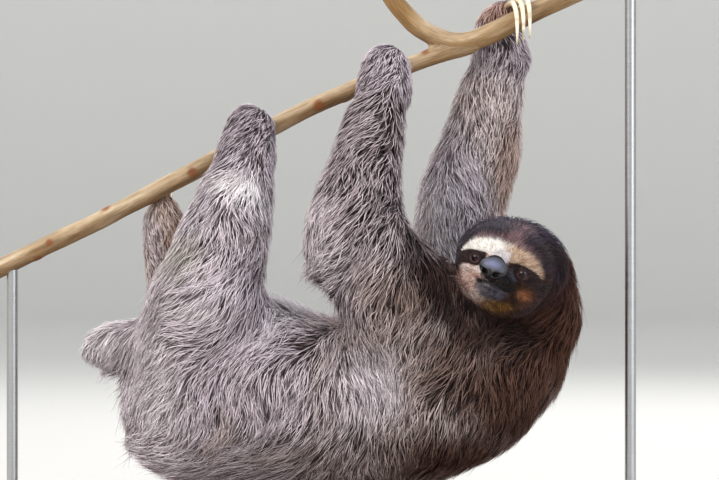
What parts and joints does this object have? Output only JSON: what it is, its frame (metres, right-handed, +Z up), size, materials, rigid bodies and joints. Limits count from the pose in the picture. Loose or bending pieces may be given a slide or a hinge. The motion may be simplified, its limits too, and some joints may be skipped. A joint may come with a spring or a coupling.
{
  "type": "three-toed sloth",
  "caption": "Three-toed sloth at life size, hanging back down from a forked branch that two rods hold over a flat base.",
  "frame": {"origin": "middle of the base's underside", "axes": "+Z up, +X along the base towards the animal's head, -Y towards the animal's left side"},
  "size_m": [0.6, 0.28, 0.5187],
  "materials": {
    "coat": "coarse long fur, matte",
    "hood": "dense dark fur, matte",
    "face": "short fur, matte",
    "nose": "damp bare skin",
    "eye": "polished, wet look",
    "claw": "smooth horn, satin",
    "bark": "thin dry bark",
    "base": "stained, satin",
    "steel": "brushed"
  },
  "bodies": {
    "root": {"belly": "coat", "branch": "bark", "chest": "coat", "claw_foot_left_1": "claw", "claw_foot_left_2": "claw", "claw_foot_left_3": "claw", "claw_foot_right_1": "claw", "claw_foot_right_2": "claw", "claw_foot_right_3": "claw", "claw_hand_left_1": "claw", "claw_hand_left_2": "claw", "claw_hand_left_3": "claw", "claw_hand_right_1": "claw", "claw_hand_right_2": "claw", "claw_hand_right_3": "claw", "eye_left": "eye", "eye_right": "eye", "foot_left": "coat", "foot_right": "coat", "forearm_left": "coat", "forearm_right": "coat", "hand_left": "coat", "hand_right": "coat", "head": "face", "neck": "hood", "nose": "nose", "shank_left": "coat", "shank_right": "coat", "stand_base": "base", "stand_collar_left": "steel", "stand_collar_right": "steel", "stand_rod_left": "steel", "stand_rod_right": "steel", "tail": "coat", "thigh_left": "coat", "thigh_right": "coat", "upper_arm_left": "coat", "upper_arm_right": "coat"}
  },
  "joints": []
}
